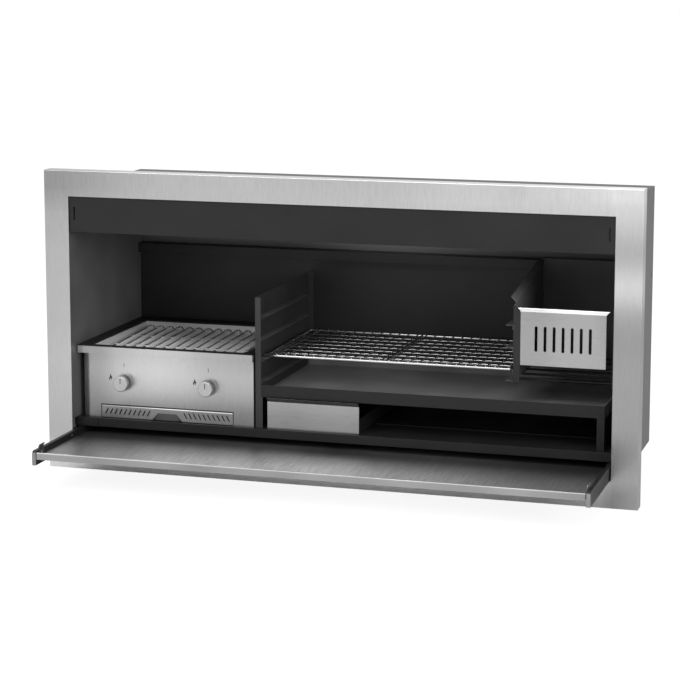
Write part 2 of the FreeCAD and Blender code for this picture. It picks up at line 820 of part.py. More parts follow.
def grill_frame():
    """The grill's rim, with a slanted slot in its rear wall above the left flank of each channel."""
    left = seat_left + side_gap
    right = seat_right - side_gap
    front = seat_front + side_gap
    rear = seat_rear - side_gap
    outside = block(left, right, front, rear, seat_bottom, seat_bottom + grill_rim_height)
    inside = block(left + grill_rim, right - grill_rim, front + grill_rim, rear - grill_rim,
                   seat_bottom, seat_bottom + grill_rim_height)
    top = channel_rear_top()
    slots = []
    for index in range(channel_count):
        start = ridge_x(index) + channel_foot / 2 + rear_slot_inset
        end = channel_x(index) - channel_foot / 2
        start_z = top - channel_depth * rear_slot_inset / (end - start + rear_slot_inset)
        end_z = top - channel_depth
        outline = [(start, start_z), (end, end_z), (end, end_z + rear_slot_height),
                   (start, start_z + rear_slot_height)]
        slots.append(prism_y(outline, rear - grill_rim, rear))
    return outside.cut(inside).cut(group(slots))


def channel_rear_top():
    """The height of the ridges where they meet the frame's rear wall."""
    return seat_bottom + slide_gap + grill_sheet + channel_depth + channel_rise


def ridge_x(index):
    """The ridge to the left of one channel; the channels share the width between the flat strips."""
    left = seat_left + side_gap + grill_rim + channel_margin
    width = seat_right - side_gap - grill_rim - channel_margin - left
    return left + index * width / channel_count


def channel_x(index):
    """The valley in the middle of one channel."""
    return (ridge_x(index) + ridge_x(index + 1)) / 2


def grill_channels():
    """One sheet pressed into V-shaped channels that climb to the rear, with slots along the ridges."""
    front = seat_front + side_gap + grill_rim
    rear = seat_rear - side_gap - grill_rim
    low_top = channel_rear_top() - channel_rise
    flat = channel_foot / 2
    upper = [(ridge_x(0) - channel_margin, low_top)]
    for index in range(channel_count):
        valley = channel_x(index)
        upper += [(ridge_x(index) + flat, low_top), (valley - flat, low_top - channel_depth),
                  (valley + flat, low_top - channel_depth), (ridge_x(index + 1) - flat, low_top)]
    upper.append((ridge_x(channel_count) + channel_margin, low_top))
    lower = [(x, z - grill_sheet) for x, z in reversed(upper)]
    corners = [point(x, front, z) for x, z in upper + lower]
    sheet = prism(corners, point(0, rear - front, channel_rise))
    half = ridge_slot_width / 2
    slots = []
    for ridge in range(channel_count + 1):
        x = ridge_x(ridge)
        for index in range(cross_bar_count):
            start = cross_bar_y(index) + ridge_bridge / 2
            end = start + cross_bar_pitch - ridge_bridge
            slots.append(block(x - half, x + half, start, end, seat_bottom, channel_rear_top()))
    return sheet.cut(group(slots))


def cross_bar_y(index):
    """The middle of one cross bar."""
    return seat_front + side_gap + grill_rim + cross_bar_setback + index * cross_bar_pitch


def grill_cross_bars():
    """Bars welded under the channels, between the ledges of the seat."""
    left = seat_left + seat_ledge + cross_bar_margin
    right = seat_right - seat_ledge - cross_bar_margin
    front = seat_front + side_gap + grill_rim
    slope = channel_rise / (seat_rear - side_gap - grill_rim - front)
    bars = []
    for index in range(cross_bar_count):
        start = cross_bar_y(index) - cross_bar_width / 2
        end = start + cross_bar_width
        top = seat_bottom + slide_gap
        outline = [(start, top + slope * (start - front) - cross_bar_height),
                   (end, top + slope * (end - front) - cross_bar_height),
                   (end, top + slope * (end - front)), (start, top + slope * (start - front))]
        bars.append(prism_x(outline, left, right))
    return group(bars)


def burner_tube(x):
    """A tube burner with two rows of ports, its rear end closed and held by a stub on the box's back."""
    inner_wall = burner_rear - burner_sheet
    rear = inner_wall - tube_stub
    outer = rod(point(x, tube_front, knob_z), point(x, rear, knob_z), burner_tube_diameter)
    bore = rod(point(x, tube_front, knob_z), point(x, rear - burner_tube_wall, knob_z),
               burner_tube_diameter - 2 * burner_tube_wall)
    stub = rod(point(x, rear, knob_z), point(x, inner_wall, knob_z), tube_stub)
    burner = joined(outer.cut(bore), stub)
    port_count = int((rear - tube_front - 2 * burner_tube_diameter) / port_pitch)
    cutters = []
    for side in (-1, 1):
        lean = point(side * sin(radians(port_angle)), 0, cos(radians(port_angle)))
        for index in range(port_count):
            y = tube_front + burner_tube_diameter + (index + 0.5) * port_pitch
            start = point(x, y, knob_z)
            cutters.append(rod(start, start + lean * burner_tube_diameter, port_diameter))
    return burner.cut(group(cutters))


def burner_tubes():
    return group([burner_tube(x) for x in knob_x])


def burner_support():
    """The cross plate that carries the open ends of the burner tubes."""
    left = burner_left + steel_sheet + burner_sheet
    right = burner_right - burner_sheet
    front = tube_front + support_offset
    rear = front + support_thickness
    plate = block(left, right, front, rear, knob_z - support_height / 2, knob_z + support_height / 2)
    for x in knob_x:
        plate = plate.cut(rod(point(x, front, knob_z), point(x, rear, knob_z), burner_tube_diameter))
        electrode_x = x + burner_tube_diameter / 2 + electrode_side
        plate = plate.cut(rod(point(electrode_x, front, knob_z), point(electrode_x, rear, knob_z),
                              electrode_diameter))
    way = block(supply_x - union_size / 2, supply_x + union_size / 2, front, rear,
                knob_z - support_height / 2, supply_z + union_size / 2)
    return plate.cut(way)


def ignition_electrodes():
    front = tube_front + support_offset - electrode_length / 2
    electrodes = []
    for x in knob_x:
        electrode_x = x + burner_tube_diameter / 2 + electrode_side
        insulator_end = front + electrode_length
        insulator = rod(point(electrode_x, front, knob_z), point(electrode_x, insulator_end, knob_z),
                        electrode_diameter)
        tip = rod(point(electrode_x, insulator_end, knob_z),
                  point(electrode_x, insulator_end + electrode_tip_length, knob_z), electrode_tip)
        electrodes.append(joined(insulator, tip))
    return group(electrodes)


def gas_valve(x):
    """A valve body with a shaft hole and spring chamber in front, a nozzle behind and an inlet boss below."""
    half = valve_width / 2
    bottom = knob_z - valve_height / 2
    body = block(x - half, x + half, valve_front, valve_rear, bottom, knob_z + valve_height / 2)
    boss_y = manifold_front + manifold_size / 2
    boss = rod(point(x, boss_y, manifold_top), point(x, boss_y, bottom), inlet_boss)
    nozzle_end = point(x, tube_front + nozzle_reach, knob_z)
    nozzle = rod(point(x, valve_rear, knob_z), nozzle_end, nozzle_diameter)
    body = joined(body, boss, nozzle)
    chamber_front = valve_front + valve_wall
    chamber = rod(point(x, chamber_front, knob_z), point(x, chamber_front + valve_cavity_length, knob_z),
                  valve_cavity_diameter)
    shaft_end = chamber_front + valve_cavity_length + stem_tail_room()
    shaft = rod(point(x, valve_front, knob_z), point(x, shaft_end, knob_z), stem_diameter + 2 * shaft_gap)
    inlet = rod(point(x, boss_y, manifold_top), point(x, boss_y, knob_z), gas_way)
    jet = rod(point(x, shaft_end, knob_z), nozzle_end, jet_diameter)
    return body.cut(chamber).cut(shaft).cut(inlet).cut(jet)


def stem_tail_room():
    """How deep the stem's tail runs past the spring chamber when the knob is pushed in."""
    return 2 * knob_push


def stem_shoulder_front():
    """Where the stem's shoulder bears on the thrust washer behind the chamber's front wall."""
    return valve_front + valve_wall + slide_gap + washer_thickness


def gas_valves():
    return group([gas_valve(x) for x in knob_x])


def valve_stem(x):
    """The turning shaft from the valve into the knob, with the shoulder that bears on the thrust washer."""
    knob_front = bay_front - knob_face_reach
    start = point(x, knob_front + knob_length - knob_bore_depth, knob_z)
    tail = valve_front + valve_wall + valve_cavity_length + knob_push / 2
    shaft = rod(start, point(x, tail, knob_z), stem_diameter)
    shoulder_y = stem_shoulder_front()
    shoulder_end = point(x, shoulder_y + stem_shoulder_length, knob_z)
    shoulder = rod(point(x, shoulder_y, knob_z), shoulder_end, stem_shoulder)
    return joined(shaft, shoulder)


def thrust_washer(x):
    front = valve_front + valve_wall + slide_gap
    start = point(x, front, knob_z)
    end = point(x, front + washer_thickness, knob_z)
    washer = rod(start, end, valve_cavity_diameter - 2 * slide_gap)
    return washer.cut(rod(start, end, stem_diameter + 2 * shaft_gap))


def knob(x):
    """A plain round knob with a stepped back, a blind bore for the stem and a pointer cut into its face."""
    front = bay_front - knob_face_reach
    rear = front + knob_length
    step = rear - knob_skirt
    body = rod(point(x, front, knob_z), point(x, step, knob_z), knob_diameter)
    edge = [e for e in body.Edges if e.BoundBox.YMax < front + 1e-3]
    body = body.makeFillet(knob_grip_step, edge)
    skirt = rod(point(x, step, knob_z), point(x, rear, knob_z), knob_diameter - 2 * knob_grip_step)
    bore = rod(point(x, rear - knob_bore_depth, knob_z), point(x, rear, knob_z), stem_diameter)
    pointer_bottom = knob_z + knob_diameter / 2 - knob_grip_step - pointer_length
    pointer = block(x - pointer_width / 2, x + pointer_width / 2, front, front + pointer_depth,
                    pointer_bottom, pointer_bottom + pointer_length)
    return joined(body, skirt).cut(bore).cut(pointer)


def knob_bezels():
    bezels = []
    for x in knob_x:
        start = point(x, bay_front - bezel_thickness, knob_z)
        end = point(x, bay_front, knob_z)
        bezels.append(rod(start, end, bezel_diameter).cut(rod(start, end, bezel_bore)))
    return group(bezels)


def gas_manifold():
    """The square gas rail under the valves, closed at its ends and open to each valve and the supply."""
    front = manifold_front
    rear = front + manifold_size
    bottom = manifold_top - manifold_size
    left = burner_left + manifold_left_margin
    right = burner_right - manifold_right_margin
    rail = block(left, right, front, rear, bottom, manifold_top)
    hollow = block(left + manifold_wall, right - manifold_wall, front + manifold_wall,
                   rear - manifold_wall, bottom + manifold_wall, manifold_top - manifold_wall)
    rail = rail.cut(hollow)
    middle = front + manifold_size / 2
    for x in knob_x:
        port = rod(point(x, middle, manifold_top - manifold_wall), point(x, middle, manifold_top), gas_way)
        rail = rail.cut(port)
    supply = rod(point(supply_x, rear - manifold_wall, supply_z), point(supply_x, rear, supply_z),
                 supply_diameter - 2 * supply_wall)
    return rail.cut(supply)


def gas_inlet_pipe():
    """The supply pipe from the manifold through the casing's back, with a threaded union at its end."""
    start_y = manifold_front + manifold_size
    end_y = casing_rear + union_thickness
    pipe = rod(point(supply_x, start_y, supply_z), point(supply_x, end_y, supply_z), supply_diameter)
    across = union_size / sqrt(3)
    corners = [(supply_x + across * cos(radians(60 * i)), supply_z + across * sin(radians(60 * i)))
               for i in range(6)]
    nut = prism_y(corners, casing_rear, end_y)
    thread = rod(point(supply_x, end_y, supply_z), point(supply_x, end_y + union_thread_length, supply_z),
                 union_thread_diameter)
    whole = joined(pipe, nut, thread)
    thread_end = point(supply_x, end_y + union_thread_length, supply_z)
    bore = rod(point(supply_x, start_y, supply_z), thread_end, supply_diameter - 2 * supply_wall)
    return whole.cut(bore)


def drip_tray_front():
    """The vented front of the drip tray, with a notch for the hand at its lower edge."""
    left = tray_left + side_gap
    right = tray_right - side_gap
    top = tray_bottom + tray_face_height
    notch_top = tray_bottom + notch_height
    notch_left = burner_middle - notch_width / 2
    notch_right = burner_middle + notch_width / 2
    outline = [(left, tray_bottom), (notch_left, tray_bottom), (notch_left + notch_taper, notch_top),
               (notch_right - notch_taper, notch_top), (notch_right, tray_bottom),
               (right, tray_bottom), (right, top), (left, top)]
    face = prism_y(outline, bay_front, bay_front + steel_sheet)
    vent_z = tray_bottom + tray_face_height / 2
    cutters = []
    for index in range(tray_vent_count):
        offset = tray_vent_margin + index * tray_vent_pitch
        for x, lean in ((left + offset, tray_vent_lean), (right - offset, -tray_vent_lean)):
            slot = upright_slot(x, vent_z, tray_vent_width, tray_vent_length,
                                bay_front, bay_front + steel_sheet)
            slot.rotate(point(x, bay_front, vent_z), point(0, 1, 0), lean)
            cutters.append(slot)
    return face.cut(group(cutters))


def drip_tray_pan():
    return open_tray(tray_left + tray_side_inset, tray_right - tray_side_inset, bay_front + steel_sheet,
                     bay_front + tray_length, tray_bottom, tray_side_height, burner_sheet)


def door_panel():
    front = arm_front + steel_sheet
    return block(-arm_inner, arm_inner, front, arm_rear, panel_bottom, panel_bottom + steel_sheet)


def door_lip():
    """The tray's front lip with its top edge hemmed back, between the arms."""
    half = arm_inner - door_lip_inset
    bottom = panel_bottom - door_lip_drop
    top = bottom + door_lip_height
    hem_rear = arm_front + door_lip_hem
    outline = [(arm_front, bottom), (arm_front + steel_sheet, bottom),
               (arm_front + steel_sheet, top - steel_sheet), (hem_rear, top - steel_sheet),
               (hem_rear, top), (arm_front, top)]
    return prism_x(outline, -half, half)


def door_arm():
    """The left arm: a closed box section with its upper front corner cut off."""
    outline = [(arm_front, arm_bottom), (arm_rear, arm_bottom), (arm_rear, arm_top),
               (arm_front + arm_chamfer, arm_top), (arm_front, arm_top - arm_chamfer)]
    body = prism_x(outline, -arm_outer, -arm_inner)
    core = block(-arm_outer + arm_wall, -arm_inner - arm_wall, arm_front + arm_chamfer + arm_wall,
                 arm_rear - arm_wall, arm_bottom + arm_wall, arm_top - arm_wall)
    return body.cut(core)


def door_hook():
    """The left hook: a plate on the arm's inner face whose nose points back."""
    front = arm_front + hook_root_setback
    rear = front + hook_root_length
    root = arm_top - hook_root_height
    tip = arm_top + hook_rise
    outline = [(front, root), (rear, root), (rear, arm_top), (rear - hook_nose, arm_top + hook_rise / 2),
               (rear + hook_nose, tip), (front + hook_nose, tip), (front, tip - hook_nose)]
    return prism_x(outline, -arm_inner, -arm_inner + hook_sheet)


def door_hooks():
    return group([door_hook(), mirrored(door_hook())])


def arm_rivets():
    """On each side one rivet in the hook and one stop rivet in the arm's inner face."""
    hook_y = arm_front + hook_root_setback + hook_root_length / 2
    hook_x = -arm_inner + hook_sheet
    hook_z = arm_top - hook_root_height / 2
    stop_y = arm_front + rivet_setback
    stop_z = panel_bottom + steel_sheet + rivet_head_diameter
    heads = []
    for x, y, z in ((hook_x, hook_y, hook_z), (-arm_inner, stop_y, stop_z)):
        heads.append(rod(point(x, y, z), point(x + rivet_head_height, y, z), rivet_head_diameter))
    return group(heads + [mirrored(head) for head in heads])


def rail_centre():
    """The height of the door pins, level with the middle of the arms."""
    return arm_bottom + arm_height / 2


def door_pins():
    y = arm_rear - pin_inset
    z = rail_centre()
    collar_start = -inner_half + rail_sheet + slide_gap
    pin = rod(point(-arm_outer, y, z), point(collar_start, y, z), pin_diameter)
    collar_end = point(collar_start + pin_collar_width, y, z)
    collar = rod(point(collar_start, y, z), collar_end, pin_collar_diameter)
    whole = joined(pin, collar)
    return group([whole, mirrored(whole)])


def door_rails():
    """The channels on the casing's sides in which the door pins run."""
    z = rail_centre()
    half = pin_collar_diameter / 2 + slide_gap
    front = casing_front + rail_start
    rear = inner_rear - rail_rear_gap
    open_x = -arm_outer - rail_sheet
    web = block(-inner_half, -inner_half + rail_sheet, front, rear,
                z - half - rail_sheet, z + half + rail_sheet)
    flanges = [block(-inner_half, open_x, front, rear, z + low, z + high)
               for low, high in ((-half - rail_sheet, -half), (half, half + rail_sheet))]
    rail = joined(web, *flanges)
    return group([rail, mirrored(rail)])


nodes = {
    "fascia_frame": fascia_frame(),
    "casing_base": casing_base(),
    "casing_left": casing_side_left(),
    "casing_right": casing_side_right(),
    "casing_back": casing_back(),
    "casing_top": casing_top_panel(),
    "side_liner_left": side_liner(),
    "side_liner_right": mirrored(side_liner()),
    "back_shield": back_shield(),
    "back_shield_right": back_shield_right(),
    "smoke_lip": smoke_lip(),
    "valance": valance(),
    "latch_bracket_left": latch_bracket(),
    "latch_bracket_right": mirrored(latch_bracket()),
    "deck": deck(),
    "deck_end_plates": deck_end_plates(),
    "floor_liner": floor_liner(),
    "divider": divider(),
    "divider_ledges": divider_ledges(),
    "fire_pan": fire_pan(),
    "pan_support": pan_support(),
    "ember_box_left": box_wall(box_left, 1),
    "ember_box_right": box_wall(box_right, -1),
    "ember_box_ledges": box_ledges(),
    "ember_box_front": box_front_panel(),
    "ember_grate": ember_grate(),
    "ash_drawer_front": ash_drawer_front(),
    "ash_drawer_pan": ash_drawer_pan(),
    "wire_grid_frame": wire_grid_frame(),
    "wire_grid_wires": wire_grid_wires(),
    "burner_front_panel": burner_front_panel(),
    "burner_box": burner_box(),
    "burner_top_frame": burner_top_frame(),
    "burner_lip": burner_lip(),
    "burner_tubes": burner_tubes(),
    "burner_support": burner_support(),
    "ignition_electrodes": ignition_electrodes(),
    "gas_manifold": gas_manifold(),
    "gas_valves": gas_valves(),
    "gas_inlet_pipe": gas_inlet_pipe(),
    "knob_bezels": knob_bezels(),
    "drip_tray_front": drip_tray_front(),
    "drip_tray_pan": drip_tray_pan(),
    "grill_frame": grill_frame(),
    "grill_channels": grill_channels(),
    "grill_cross_bars": grill_cross_bars(),
    "door_panel": door_panel(),
    "door_lip": door_lip(),
    "door_arm_left": door_arm(),
    "door_arm_right": mirrored(door_arm()),
    "door_hooks": door_hooks(),
    "arm_rivets": arm_rivets(),
    "door_pins": door_pins(),
    "door_rails": door_rails(),
}
for side, x in zip(("left", "right"), knob_x):
    nodes["knob_" + side] = knob(x)
    nodes["valve_stem_" + side] = valve_stem(x)
    nodes["thrust_washer_" + side] = thrust_washer(x)

os.makedirs("parts", exist_ok=True)
for name, shape in nodes.items():
    shape.translate(point(0, 0, 0) - origin)
    shape.exportStep("parts/" + name + ".step")
print(len(nodes), "nodes")
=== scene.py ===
import bmesh
import bpy
from math import cos, pi, radians, sin
from mathutils import Matrix, Vector


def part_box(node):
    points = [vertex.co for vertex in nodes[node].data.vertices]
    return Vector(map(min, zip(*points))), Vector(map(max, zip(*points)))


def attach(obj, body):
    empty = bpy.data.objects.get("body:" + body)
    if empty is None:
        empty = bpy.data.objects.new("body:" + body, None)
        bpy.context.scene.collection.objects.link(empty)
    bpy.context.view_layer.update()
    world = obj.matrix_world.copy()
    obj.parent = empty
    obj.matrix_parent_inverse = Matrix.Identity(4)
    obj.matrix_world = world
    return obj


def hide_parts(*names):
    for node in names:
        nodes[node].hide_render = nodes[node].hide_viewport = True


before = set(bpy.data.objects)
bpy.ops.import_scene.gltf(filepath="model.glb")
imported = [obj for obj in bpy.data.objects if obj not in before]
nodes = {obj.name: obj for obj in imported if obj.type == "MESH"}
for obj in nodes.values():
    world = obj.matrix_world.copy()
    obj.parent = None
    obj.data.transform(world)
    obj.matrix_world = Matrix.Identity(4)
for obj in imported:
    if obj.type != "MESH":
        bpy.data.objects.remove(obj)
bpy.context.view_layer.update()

MM = 0.001


# Materials

def new_material(name):
    material = bpy.data.materials.new(name)
    material.use_nodes = True
    tree = material.node_tree
    shader = tree.nodes["Principled BSDF"]
    return material, tree, shader


def link(tree, a, output, b, socket):
    """Joins an output, by name, to an input, by name or number."""
    tree.links.new(a.outputs[output], b.inputs[socket])


def stretched_noise(tree, scale, detail=2.0, roughness=0.5):
    """Noise in metres of the row frame, stretched by a different scale on each axis."""
    place = tree.nodes.new("ShaderNodeTexCoord")
    mapping = tree.nodes.new("ShaderNodeMapping")
    mapping.inputs["Scale"].default_value = scale
    noise = tree.nodes.new("ShaderNodeTexNoise")
    noise.inputs["Scale"].default_value = 1.0
    noise.inputs["Detail"].default_value = detail
    noise.inputs["Roughness"].default_value = roughness
    link(tree, place, "Object", mapping, "Vector")
    link(tree, mapping, "Vector", noise, "Vector")
    return noise


def ranged(tree, source, low, high, start=0.3, end=0.7):
    """A noise's middle range spread between two values."""
    node = tree.nodes.new("ShaderNodeMapRange")
    node.inputs["From Min"].default_value = start
    node.inputs["From Max"].default_value = end
    node.inputs["To Min"].default_value = low
    node.inputs["To Max"].default_value = high
    link(tree, source, "Fac", node, "Value")
    return node


def two_tones(tree, source, dark, light, start=0.35, end=0.65):
    ramp = tree.nodes.new("ShaderNodeValToRGB")
    ramp.color_ramp.elements[0].position = start
    ramp.color_ramp.elements[0].color = (*dark, 1)
    ramp.color_ramp.elements[1].position = end
    ramp.color_ramp.elements[1].color = (*light, 1)
    link(tree, source, "Fac", ramp, "Fac")
    return ramp


def computed(tree, operation, *values):
    """The result of a math node; each value is a number or another node's output."""
    node = tree.nodes.new("ShaderNodeMath")
    node.operation = operation
    for socket, value in zip(node.inputs, values):
        if isinstance(value, (int, float)):
            socket.default_value = value
        else:
            tree.links.new(value, socket)
    return node.outputs[0]


def bumped(tree, shader, source, strength, distance, edge=0.0):
    bump = tree.nodes.new("ShaderNodeBump")
    bump.inputs["Strength"].default_value = strength
    bump.inputs["Distance"].default_value = distance
    link(tree, source, "Fac", bump, "Height")
    if edge:
        bevel = tree.nodes.new("ShaderNodeBevel")
        bevel.samples = 4
        bevel.inputs["Radius"].default_value = edge
        link(tree, bevel, "Normal", bump, "Normal")
    link(tree, bump, "Normal", shader, "Normal")


def along(grain, fine, coarse):
    """Scales that stretch a noise along one axis."""
    return tuple(coarse if axis == grain else fine for axis in "xyz")


def tone_along(tree, axis, start, end, stops):
    """A tone that changes smoothly from one place on an axis to another; stops are (share of the way, tone)."""
    place = tree.nodes.new("ShaderNodeTexCoord")
    split = tree.nodes.new("ShaderNodeSeparateXYZ")
    way = tree.nodes.new("ShaderNodeMapRange")
    way.inputs["From Min"].default_value = start
    way.inputs["From Max"].default_value = end
    ramp = tree.nodes.new("ShaderNodeValToRGB")
    ramp.color_ramp.interpolation = "B_SPLINE"
    points = ramp.color_ramp.elements
    while len(points) < len(stops):
        points.new(0.5)
    peak = max(tone for share, tone in stops)
    for point, (share, tone) in zip(points, stops):
        point.position = share
        point.color = (tone / peak, tone / peak, tone / peak, 1)
    link(tree, place, "Object", split, "Vector")
    link(tree, split, axis, way, "Value")
    link(tree, way, "Result", ramp, "Fac")
    return computed(tree, "MULTIPLY", ramp.outputs["Color"], peak)


def banded(tree, tone, bands):
    """Multiplies a tone by smooth bands, used here to paint light and shade; a band with a mask fades in between two
    places on a second axis.
    """
    for axis, start, end, stops, mask in bands:
        band = tone_along(tree, axis, start, end, stops)
        if mask:
            share = tone_along(tree, *mask, [(0.0, 0.0), (0.1, 0.0), (0.9, 1.0), (1.0, 1.0)])
            band = computed(tree, "MULTIPLY_ADD", computed(tree, "SUBTRACT", band, 1.0), share, 1.0)
        tone = computed(tree, "MULTIPLY", tone, band)
    return tone


def brushed(name, grain, tone=0.56, roughness=0.33, anisotropy=0.6, contrast=0.04, cloud=0.05, edge=0.0006,
            bands=(), metallic=1.0, streak=0.25):
    """Brushed stainless steel: short fine scratches along one axis over wide soft clouds."""
    material, tree, shader = new_material(name)
    scratches = stretched_noise(tree, along(grain, 1300, 24), 2.0, 0.5)
    streaks = stretched_noise(tree, along(grain, 300, 18), 1.0, 0.5)
    clouds = stretched_noise(tree, along(grain, 1.6, 5.5), 1.0, 0.4)
    fine = ranged(tree, scratches, tone - contrast, tone + contrast)
    coarse = ranged(tree, streaks, -contrast * streak, contrast * streak, 0.2, 0.8)
    wide = ranged(tree, clouds, -cloud, cloud)
    total = computed(tree, "ADD", computed(tree, "ADD", fine.outputs["Result"], coarse.outputs["Result"]),
                     wide.outputs["Result"])
    tree.links.new(banded(tree, total, bands), shader.inputs["Base Color"])
    shader.inputs["Metallic"].default_value = metallic
    rough = ranged(tree, scratches, roughness - 0.04, roughness + 0.05)
    link(tree, rough, "Result", shader, "Roughness")
    shader.inputs["Anisotropic"].default_value = anisotropy
    bumped(tree, shader, scratches, 0.05, 0.0001, edge)
    return material


def coated(name, tone=0.02, roughness=0.42, edge=0.0012, specular=0.5, bands=(), spread=0.13):
    """Dark heat-resistant coating with a very fine texture."""
    material, tree, shader = new_material(name)
    grain = stretched_noise(tree, (900, 900, 900), 2.0, 0.5)
    cloud = stretched_noise(tree, (9, 9, 9), 3.0, 0.5)
    tones = two_tones(tree, cloud, [tone * (1 - spread)] * 3, [tone * (1 + spread)] * 3)
    tree.links.new(banded(tree, tones.outputs["Color"], bands), shader.inputs["Base Color"])
    rough = ranged(tree, cloud, roughness - 0.04, roughness + 0.05)
    link(tree, rough, "Result", shader, "Roughness")
    shader.inputs["Specular IOR Level"].default_value = specular
    bumped(tree, shader, grain, 0.10, 0.0002, edge)
    return material


def metal(name, tone, roughness, scale=(250, 250, 250), spread=0.04, edge=0.0004, metallic=1.0, bands=()):
    """Plain bare metal with slight mottling."""
    material, tree, shader = new_material(name)
    grain = stretched_noise(tree, scale, 2.0, 0.5)
    tones = two_tones(tree, grain, [c - spread * c for c in tone], [c + spread * c for c in tone])
    tones = tones.outputs["Color"]
    tree.links.new(banded(tree, tones, bands) if bands else tones, shader.inputs["Base Color"])
    rough = ranged(tree, grain, roughness * 0.85, roughness * 1.2)
    link(tree, rough, "Result", shader, "Roughness")
    shader.inputs["Metallic"].default_value = metallic
    bumped(tree, shader, grain, 0.05, 0.0001, edge)
    return material


# Painted light on the fascia: darker to the left and low down, painted highlight bands up the right post and across
# the top border's right end, and a lighter bottom strip lifting the shade below the door.
fascia_steel = brushed(
    "fascia_steel", "z", 0.66, 0.30, cloud=0.03,
    bands=[("Z", -0.05, 0.71, [(0.0, 0.92), (0.5, 0.95), (0.62, 1.02), (0.8, 0.96), (0.95, 1.0)], None),
           ("X", -0.75, 0.75, [(0.0, 0.80), (0.2, 1.02), (0.6, 1.0), (1.0, 1.0)], None),
           ("Z", -0.05, 0.71, [(0.0, 0.61), (0.104, 0.64), (0.254, 0.52), (0.454, 0.60), (0.603, 0.42), (0.701, 1.34),
                               (0.799, 0.52), (0.946, 1.53)], ("X", 0.45, 0.69)),
           ("X", -0.75, 0.75, [(0.0, 0.76), (0.06, 0.78), (0.2, 1.08), (0.35, 1.0), (0.6, 0.97), (0.74, 1.26),
                               (0.85, 1.05), (0.93, 0.97)], ("Z", 0.60, 0.665)),
           ("Z", -0.05, 0.03, [(0.0, 1.6), (0.5, 1.6), (0.9, 1.0), (1.0, 1.0)], ("X", 0.69, 0.66))])
# Painted light on the burner's front: darker low down, a painted highlight band across the upper middle, a painted
# highlight on the rounded left corner with painted shade beside it, and darker towards the right.
front_steel = brushed(
    "front_steel", "z", 0.57, 0.30, contrast=0.03,
    bands=[("Z", 0.07, 0.26, [(0.0, 0.76), (0.30, 0.88), (0.63, 1.22), (0.84, 0.98), (1.0, 0.98)], None),
           ("X", -0.685, -0.22, [(0.0, 1.7), (0.03, 1.1), (0.06, 0.66), (0.13, 0.61), (0.22, 0.86), (0.42, 1.05),
                                 (0.6, 1.0), (0.75, 0.82), (1.0, 0.78)], None)])
# Painted shade: the pan's front face is darkened to 0.09 of its tone where it shows through the vents, and painted
# light lifts it six times within the notch.
pan_steel = brushed("pan_steel", "y", 0.34, 0.40, contrast=0.03, cloud=0.03,
                    bands=[("Y", -0.2042, -0.2020, [(0.0, 0.09), (0.5, 0.09), (0.9, 1.0), (1.0, 1.0)], None),
                           ("X", -0.495, -0.403, [(0.0, 1.0), (0.1, 1.0), (0.2, 6.0), (0.8, 6.0), (0.9, 1.0),
                                                  (1.0, 1.0)], ("Y", -0.2022, -0.2038))])
# Painted light on the ember box and ash drawer fronts: a painted highlight along the top fold, and lighter towards the
# left.
plate_steel = brushed("plate_steel", "x", 0.36, 0.30, contrast=0.02,
                      bands=[("Z", 0.390, 0.3966, [(0.0, 1.0), (0.4, 1.0), (0.8, 1.9), (1.0, 1.9)], None),
                             ("X", -0.18, 0.06, [(0.0, 1.3), (0.4, 1.2), (1.0, 1.0)], None)])
# Painted shade on the door: darker towards the rear, where the fascia and deck shade it, and darker at both sides.
tray_steel = brushed("tray_steel", "y", 0.72, 0.46, contrast=0.13, streak=1.0, metallic=0.6,
                     bands=[("Y", -0.50, -0.25, [(0.0, 1.2), (0.4, 0.97), (0.75, 0.34), (1.0, 0.06)], None),
                            ("X", -0.67, 0.67, [(0.0, 0.34), (0.12, 0.36), (0.3, 0.84), (0.45, 1.05), (0.6, 1.02),
                                                (0.75, 0.76), (0.88, 0.35), (1.0, 0.25)], None)])
# Painted highlight: a bright line along the top of the door's lip.
lip_steel = brushed("lip_steel", "x", 0.35, 0.32, contrast=0.02,
                    bands=[("Z", 0.0445, 0.048, [(0.0, 1.0), (0.3, 1.0), (0.7, 2.3), (1.0, 2.3)], None)])
grill_steel = brushed("grill_steel", "x", 0.66, 0.50, contrast=0.03, metallic=0.5)
# Painted shade: the grill's channels darken towards their left end.
channel_steel = brushed("channel_steel", "y", 0.90, 0.50, contrast=0.05, metallic=0.3,
                        bands=[("X", -0.652, -0.636, [(0.0, 0.40), (0.4, 0.50), (0.8, 1.0), (1.0, 1.0)],
                                None)])
dark_steel = coated("dark_steel", 0.009, 0.46, specular=0.32)
pan_low, pan_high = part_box("fire_pan")
# Painted light: the pan's inside, behind its front face, is twenty times lighter than the dark coating; only the front
# face keeps the coating's tone.
pan_coat = coated("pan_coat", 0.009, 0.46, specular=0.32,
                  bands=[("Y", pan_low.y + 0.002, pan_low.y + 0.007, [(0.0, 1.0), (0.3, 1.0), (0.7, 20.0),
                                                                      (1.0, 20.0)], None)])
# Painted light: the back shield is twenty times lighter below the pan's level, lifting the shade under the pan.
shield_coat = coated("shield_coat", 0.012, 0.46, specular=0.32,
                     bands=[("Z", pan_low.z, pan_low.z + 0.045, [(0.0, 20.0), (0.3, 20.0), (0.7, 1.0), (1.0, 1.0)],
                             None)])
